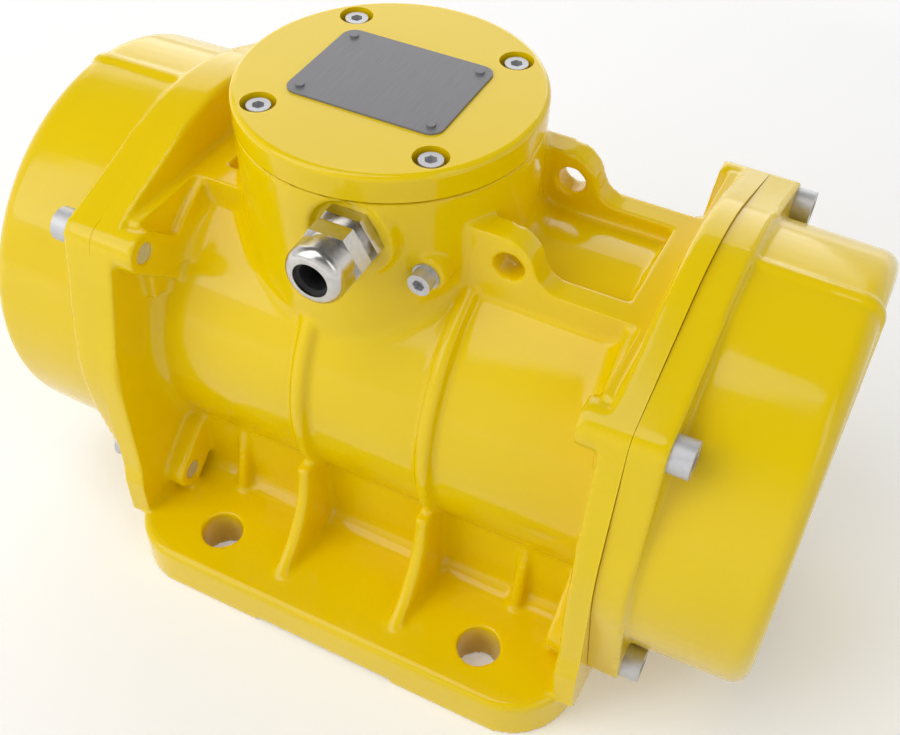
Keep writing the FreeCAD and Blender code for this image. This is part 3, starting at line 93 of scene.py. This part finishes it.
def add_level(nodes, links, source, low, high, start, end):
    """Turns a value into another: low at start, high at end, in a straight line."""
    level = nodes.new("ShaderNodeMapRange")
    level.inputs["From Min"].default_value = start
    level.inputs["From Max"].default_value = end
    level.inputs["To Min"].default_value = low
    level.inputs["To Max"].default_value = high
    links.new(source, level.inputs["Value"])
    return level.outputs["Result"]


def add_math(nodes, links, operation, first, second):
    step = nodes.new("ShaderNodeMath")
    step.operation = operation
    links.new(first, step.inputs[0])
    links.new(second, step.inputs[1])
    return step.outputs[0]


def add_bump(nodes, links, source, shader, strength, distance):
    bump = nodes.new("ShaderNodeBump")
    bump.inputs["Strength"].default_value = strength
    bump.inputs["Distance"].default_value = distance
    links.new(source, bump.inputs["Height"])
    links.new(bump.outputs["Normal"], shader.inputs["Normal"])


def surface(name, low, high, metallic, rough, grain, bump, depth=0.0002, stretch=(1, 1, 1)):
    """A surface of two tones, low and high, in a noise of the given grain. The
    roughness goes from rough[0] to rough[1] with it, and the bump follows it."""
    material, nodes, links, shader = new_material(name)
    noise = add_noise(nodes, links, grain, stretch=stretch).outputs["Fac"]
    links.new(add_ramp(nodes, links, noise, low, high), shader.inputs["Base Color"])
    links.new(add_ramp(nodes, links, noise, grey(rough[0]), grey(rough[1])),
              shader.inputs["Roughness"])
    shader.inputs["Metallic"].default_value = metallic
    add_bump(nodes, links, noise, shader, bump, depth)
    return material


def yellow_enamel():
    """Thick glossy enamel over a cast skin: an even lemon yellow with a slow
    waviness, as cast metal has, and hardly any grain. Its gloss is tinted blue,
    so that reflections of the white studio look beige on the yellow."""
    material, nodes, links, shader = new_material("yellow_enamel")
    slow = add_noise(nodes, links, scale=16, detail=1.0).outputs["Fac"]
    colour = add_ramp(nodes, links, slow, (0.855, 0.608, 0.0), (0.885, 0.632, 0.0))
    links.new(colour, shader.inputs["Base Color"])
    fine = add_noise(nodes, links, scale=300, detail=2.0).outputs["Fac"]
    links.new(add_ramp(nodes, links, fine, grey(0.10), grey(0.15)), shader.inputs["Roughness"])
    mixed = nodes.new("ShaderNodeMix")
    mixed.inputs["Factor"].default_value = 0.02
    links.new(slow, mixed.inputs["A"])
    links.new(fine, mixed.inputs["B"])
    add_bump(nodes, links, mixed.outputs["Result"], shader, strength=0.4, distance=0.0010)
    shader.inputs["Specular IOR Level"].default_value = 0.40
    shader.inputs["Specular Tint"].default_value = (0.45, 0.62, 1.0, 1)
    return material


YELLOW = yellow_enamel()
BRASS = surface("brass", (0.62, 0.44, 0.16), (0.72, 0.53, 0.22), metallic=1.0, rough=(0.25, 0.38),
                grain=500, bump=0.08)
ALUMINIUM = surface("cast_aluminium", (0.52, 0.52, 0.53), (0.66, 0.66, 0.67), metallic=1.0,
                    rough=(0.4, 0.55), grain=500, bump=0.25)
GROUND = surface("ground_steel", grey(0.46), grey(0.56), metallic=1.0, rough=(0.16, 0.26),
                 grain=800, bump=0.06, stretch=(3, 0.3, 0.3))

FINISH = {
    "yellow_paint": YELLOW,
    "plated_steel": surface(
        "zinc_plate", (0.56, 0.56, 0.575), (0.62, 0.62, 0.635), metallic=0.6, rough=(0.46, 0.54),
        grain=500, bump=0.04),
    "stainless": surface(
        "stainless", (0.52, 0.52, 0.535), (0.58, 0.58, 0.595), metallic=0.65, rough=(0.38, 0.46),
        grain=500, bump=0.04),
    "nickel_plate": surface(
        "nickel_plate", (0.56, 0.54, 0.51), (0.63, 0.61, 0.58), metallic=1.0, rough=(0.19, 0.27),
        grain=500, bump=0.04),
    "black_rubber": surface(
        "black_rubber", grey(0.010), grey(0.018), metallic=0.0, rough=(0.55, 0.7), grain=700,
        bump=0.15),
    "bare_plate": surface(
        "bare_plate", (0.190, 0.185, 0.197), (0.220, 0.215, 0.227), metallic=0.2,
        rough=(0.45, 0.52), grain=1400, bump=0.05, stretch=(1, 0.05, 1)),
    "moulding": surface(
        "moulding", (0.05, 0.035, 0.03), (0.065, 0.05, 0.04), metallic=0.0, rough=(0.4, 0.5),
        grain=600, bump=0.1),
    "terminal_brass": BRASS,
    "cage_brass": BRASS,
    "winding_copper": surface(
        "enamelled_copper", (0.36, 0.09, 0.02), (0.48, 0.15, 0.04), metallic=0.6,
        rough=(0.25, 0.4), grain=300, bump=0.5, depth=0.0008, stretch=(0.15, 1, 1)),
    "core_steel": surface(
        "stacked_sheet", (0.16, 0.16, 0.165), (0.26, 0.26, 0.27), metallic=1.0, rough=(0.35, 0.5),
        grain=900, bump=0.3, stretch=(3, 0.02, 0.02)),
    "cast_aluminium": ALUMINIUM,
    "shield_iron": ALUMINIUM,
    "ground_steel": GROUND,
    "bearing_steel": GROUND,
    "weight_iron": surface(
        "machined_iron", (0.15, 0.15, 0.155), (0.23, 0.23, 0.235), metallic=0.9,
        rough=(0.38, 0.52), grain=600, bump=0.25),
    "spring_steel": surface(
        "blued_steel", (0.07, 0.075, 0.09), (0.10, 0.105, 0.12), metallic=1.0, rough=(0.3, 0.4),
        grain=700, bump=0.1),
}
SLOT_OF = {part["node"]: part["material_slot"] for part in frame["record"]["subparts"]}

for node, thing in frame["nodes"].items():
    finish = FINISH[SLOT_OF[node]]
    if not thing.material_slots:
        thing.data.materials.append(finish)
    for material_slot in thing.material_slots:
        material_slot.material = finish


# Cast pieces: the solid of the node, with the soft edges and hollows of a casting


def middle_of(node, axis):
    low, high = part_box(node)
    return (low[axis] + high[axis]) / 2 / MM


# Places on the castings, in millimetres
AXIS_HEIGHT = middle_of("rotor_shaft", 2)
BOX_X = middle_of("terminal_lid", 0)
JOINT_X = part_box("motor_housing")[1][0] / MM
MOUNTS = {mount["name"]: mount for mount in frame["record"]["mounts"]}
EAR_HOLE = Vector(MOUNTS["lifting_holes"]["pos_m"]) / MM
EAR_HOLE_RADIUS = MOUNTS["lifting_holes"]["dims"]["r_mm"]
FOOT_HOLES = MOUNTS["foot_bolts"]["dims"]
# Limits inside the walls that part machined and inner faces from the cast skin:
# round the shaft, under the foot, at the seat of the lid, in the terminal box and
# in the covers
BORE_LIMIT = 63
SOLE_LIMIT = 1.5
LID_SEAT_LIMIT = 190
BOX_RADIUS_LIMIT, BOX_FLOOR_LIMIT = 50, 158
CUP_RADIUS_LIMIT, CUP_DEPTH_LIMIT = 82, 53.5
# Outside this radius round the terminal box, the high parts are the lifting plates
EAR_LIMIT = 57
# Stretches over which an edge goes from soft to crisp
FLANGE_FADE = (84, 90)
EAR_FADE = (145, 153)
HOLE_FADE = (1.5, 4)
COVER_FLANGE_FADE = (12.5, 15)
# The share of the smoothing that a crisp edge is spared
HOUSING_CRISP = 0.6
COVER_CRISP = 0.4
EAR_RIM_CRISP = 0.45
# The grain of the remesh, how far the faces at a joint are drawn out over it, half
# the width of a joint, and the distance within which two places are one
VOXEL = 1.0
DRAWN_OUT = 5
HAIR = 0.08
TOUCH = 0.01

SHARP_ANGLE = math.radians(70)


def apply_modifiers(piece, *modifiers):
    """Puts the modifiers on the piece and makes its mesh their result."""
    for kind, settings in modifiers:
        modifier = piece.modifiers.new(kind.lower(), kind)
        for key, value in settings.items():
            setattr(modifier, key, value)
    depsgraph = bpy.context.evaluated_depsgraph_get()
    mesh = bpy.data.meshes.new_from_object(piece.evaluated_get(depsgraph))
    piece.modifiers.clear()
    piece.data = mesh


def cut_at_joint(piece, end, outwards):
    """Cuts the piece off square at the cover joint on that end, 1 or -1. The
    housing, whose joint faces look outwards, is kept inside the joint and a
    cover outside it, and the joint stays open by a hair."""
    keep_low = end * outwards > 0
    place = end * (JOINT_X - outwards * HAIR) * MM
    mesh = bmesh.new()
    mesh.from_mesh(piece.data)
    cut = bmesh.ops.bisect_plane(
        mesh, geom=mesh.verts[:] + mesh.edges[:] + mesh.faces[:], dist=TOUCH * MM,
        plane_co=(place, 0, 0), plane_no=(1, 0, 0), clear_outer=keep_low, clear_inner=not keep_low)
    rim = [item for item in cut["geom_cut"] if isinstance(item, bmesh.types.BMEdge)]
    bmesh.ops.triangle_fill(mesh, use_beauty=True, edges=rim,
                            normal=(1 if keep_low else -1, 0, 0))
    bmesh.ops.recalc_face_normals(mesh, faces=mesh.faces[:])
    mesh.to_mesh(piece.data)
    mesh.free()


def draw_out_joints(piece, outwards):
    """Moves the joint faces of the piece outwards (1) or inwards (-1)."""
    for vertex in piece.data.vertices:
        if abs(abs(vertex.co.x) / MM - JOINT_X) < TOUCH:
            vertex.co.x += outwards * math.copysign(DRAWN_OUT * MM, vertex.co.x)


def smooth_skin(piece, rounds, softness):
    """Smooths the piece so many rounds, each point by its softness."""
    skin = piece.vertex_groups.new(name="skin")
    levels = {}
    for vertex in piece.data.vertices:
        levels.setdefault(round(softness(vertex.co / MM), 2), []).append(vertex.index)
    for level, points in levels.items():
        if level > 0:
            skin.add(points, level, "REPLACE")
    apply_modifiers(piece, ("SMOOTH", {"factor": 0.5, "iterations": rounds,
                                       "vertex_group": "skin"}))


def cast_piece(node, name, ends, outwards, rounds, faces, softness):
    """A softened copy of a node, thinned to about so many faces if it has more.
    The faces that meet at the joints on its ends stay flat with square edges:
    they are drawn out over the joint first, and cut off at the joint after the
    smoothing."""
    piece = bpy.data.objects.new(name, frame["nodes"][node].data.copy())
    bpy.context.scene.collection.objects.link(piece)
    draw_out_joints(piece, outwards)
    apply_modifiers(piece, ("WELD", {"merge_threshold": TOUCH * MM}),
                    ("REMESH", {"mode": "VOXEL", "voxel_size": VOXEL * MM,
                                "use_smooth_shade": True}))
    smooth_skin(piece, rounds, softness)
    if len(piece.data.polygons) > faces:
        apply_modifiers(piece, ("DECIMATE", {"ratio": faces / len(piece.data.polygons)}))
    for end in ends:
        cut_at_joint(piece, end, outwards)
    piece.data.name = name
    for face in piece.data.polygons:
        face.use_smooth = True
    piece.data.set_sharp_from_angle(angle=SHARP_ANGLE)
    piece.data.materials.clear()
    piece.data.materials.append(YELLOW)
    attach(piece, "frame")
    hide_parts(node)


def between(value, low, high):
    """0 up to low, 1 from high on, and a straight line between them."""
    return min(1, max(0, (value - low) / (high - low)))


def housing_softness(point):
    """1 on the barrel, its ribs and the foot; less on the flanges, the lifting
    plates and round the foot holes, and nothing on machined and inner faces."""
    from_axis = math.hypot(point.y, point.z - AXIS_HEIGHT)
    from_box = math.hypot(point.x - BOX_X, point.y)
    in_box = from_box < BOX_RADIUS_LIMIT and point.z > BOX_FLOOR_LIMIT
    if from_axis < BORE_LIMIT or point.z < SOLE_LIMIT or point.z > LID_SEAT_LIMIT or in_box:
        return 0
    crisp = between(abs(point.x), *FLANGE_FADE)
    if from_box > EAR_LIMIT:
        crisp = max(crisp, between(point.z, *EAR_FADE))
    from_foot_hole = math.hypot(abs(point.x) - FOOT_HOLES["spacing_x_mm"] / 2,
                                abs(point.y) - FOOT_HOLES["spacing_y_mm"] / 2)
    crisp = max(crisp, 1 - between(from_foot_hole - FOOT_HOLES["hole_r_mm"], *HOLE_FADE))
    from_ear_hole = math.hypot(point.x - EAR_HOLE.x, point.z - EAR_HOLE.z)
    ear_rim = max(EAR_RIM_CRISP, between(from_ear_hole - EAR_HOLE_RADIUS, *HOLE_FADE))
    return 1 - HOUSING_CRISP * min(crisp, ear_rim)


def cover_softness(point):
    """1 on the cup, less on the flange, and nothing on the inside of the cup."""
    from_axis = math.hypot(point.y, point.z - AXIS_HEIGHT)
    from_joint = abs(point.x) - JOINT_X
    if from_axis < CUP_RADIUS_LIMIT and from_joint < CUP_DEPTH_LIMIT:
        return 0
    return 1 - COVER_CRISP * (1 - between(from_joint, *COVER_FLANGE_FADE))


cast_piece("motor_housing", "cast_housing", ends=(1, -1), outwards=1, rounds=12, faces=170000,
           softness=housing_softness)
for side, end in (("left", -1), ("right", 1)):
    cast_piece(f"cover_{side}", f"cast_cover_{side}", ends=(end,), outwards=-1, rounds=8,
               faces=110000, softness=cover_softness)


# Floor and studio


FLOOR_HALF = 6.0
FLOOR_DROP = 0.0002
OBJECT_MIDDLE = Vector((0, 0, 0.12))


def seen_directly(nodes, links):
    """1 for the camera and in mirrors and glass, 0 for the light on things."""
    path = nodes.new("ShaderNodeLightPath")
    total = path.outputs["Is Camera Ray"]
    for ray in ("Is Glossy Ray", "Is Transmission Ray"):
        total = add_math(nodes, links, "MAXIMUM", total, path.outputs[ray])
    return total


def pale_floor():
    """A white matt floor. What the camera and mirrors see of it glows a little,
    more with the distance from the object: so it is white far out, and near the
    object it keeps the object's shadow."""
    mesh = bpy.data.meshes.new("floor")
    corners = [(x * FLOOR_HALF, y * FLOOR_HALF, 0) for x, y in ((-1, -1), (1, -1), (1, 1), (-1, 1))]
    mesh.from_pydata(corners, [], [(0, 1, 2, 3)])
    floor = bpy.data.objects.new("floor", mesh)
    floor.location.z = -FLOOR_DROP
    bpy.context.scene.collection.objects.link(floor)
    material, nodes, links, shader = new_material("floor")
    shader.inputs["Base Color"].default_value = (*grey(0.86), 1)
    shader.inputs["Roughness"].default_value = 0.9
    shader.inputs["Emission Color"].default_value = (*grey(1), 1)
    place = nodes.new("ShaderNodeTexCoord")
    away = nodes.new("ShaderNodeVectorMath")
    away.operation = "LENGTH"
    links.new(place.outputs["Object"], away.inputs[0])
    glow = add_level(nodes, links, away.outputs["Value"], low=0.22, high=0.66, start=0.5, end=1.3)
    seen_glow = add_math(nodes, links, "MULTIPLY", seen_directly(nodes, links), glow)
    links.new(seen_glow, shader.inputs["Emission Strength"])
    mesh.materials.append(material)


def studio_world():
    """The studio round the floor: white near the floor, dim overhead."""
    world = bpy.data.worlds.new("studio")
    bpy.context.scene.world = world
    world.use_nodes = True
    nodes, links = world.node_tree.nodes, world.node_tree.links
    direction = nodes.new("ShaderNodeTexCoord")
    height = nodes.new("ShaderNodeSeparateXYZ")
    links.new(direction.outputs["Generated"], height.inputs["Vector"])
    fall = add_ramp(nodes, links, height.outputs["Z"], grey(0.95), grey(0.16), start=0.26, end=0.72)
    links.new(fall, nodes["Background"].inputs["Color"])
    nodes["Background"].inputs["Strength"].default_value = 1.0


def soft_box(name, azimuth, elevation, distance, size, level):
    """A soft box that faces the middle of the object. Azimuth is counted from +X
    to +Y, and the level is the brightness of its face, where 1 is white."""
    azimuth, elevation = math.radians(azimuth), math.radians(elevation)
    way = Vector((math.cos(azimuth) * math.cos(elevation), math.sin(azimuth) * math.cos(elevation),
                  math.sin(elevation)))
    data = bpy.data.lights.new(name, "AREA")
    data.shape = "RECTANGLE"
    data.size, data.size_y = size
    data.energy = level * math.pi * size[0] * size[1]
    light = bpy.data.objects.new(name, data)
    bpy.context.scene.collection.objects.link(light)
    light.location = OBJECT_MIDDLE + way * distance
    light.rotation_euler = (-way).to_track_quat("-Z", "Y").to_euler()


pale_floor()
studio_world()
soft_box("front_box", azimuth=-131, elevation=52, distance=1.4, size=(0.9, 2.0), level=2.2)
soft_box("back_box", azimuth=118, elevation=21, distance=1.7, size=(2.0, 1.25), level=1.5)
soft_box("side_box", azimuth=-20, elevation=40, distance=1.8, size=(0.5, 1.1), level=1.5)


# Camera: as the photograph was taken, from the front right and above


def photo_camera(place, azimuth, elevation, roll, lens, shift_x, shift_y):
    """A camera at a place. Azimuth turns it round the object from the front to
    the right, elevation lifts it, and roll turns the picture."""
    azimuth, elevation, roll = (math.radians(angle) for angle in (azimuth, elevation, roll))
    back = Vector((math.sin(azimuth) * math.cos(elevation), -math.cos(azimuth) * math.cos(elevation),
                   math.sin(elevation)))
    right = (-back).cross(Vector((0, 0, 1))).normalized()
    up = right.cross(-back)
    rolled_right = right * math.cos(roll) + up * math.sin(roll)
    rolled_up = up * math.cos(roll) - right * math.sin(roll)
    data = bpy.data.cameras.new("camera")
    data.sensor_fit = "HORIZONTAL"
    data.sensor_width = 36
    data.lens = lens
    data.shift_x, data.shift_y = shift_x, shift_y
    data.clip_start = 0.01
    camera = bpy.data.objects.new("camera", data)
    bpy.context.scene.collection.objects.link(camera)
    turned = Matrix((rolled_right, rolled_up, back)).transposed().to_4x4()
    camera.matrix_world = Matrix.Translation(place) @ turned
    bpy.context.scene.camera = camera


photo_camera(place=(0.153157, -0.304671, 0.422608), azimuth=24.9066, elevation=45.3059, roll=2.0674,
             lens=46.515, shift_x=-0.0206, shift_y=-0.0151)

bpy.context.scene.view_settings.view_transform = "Standard"
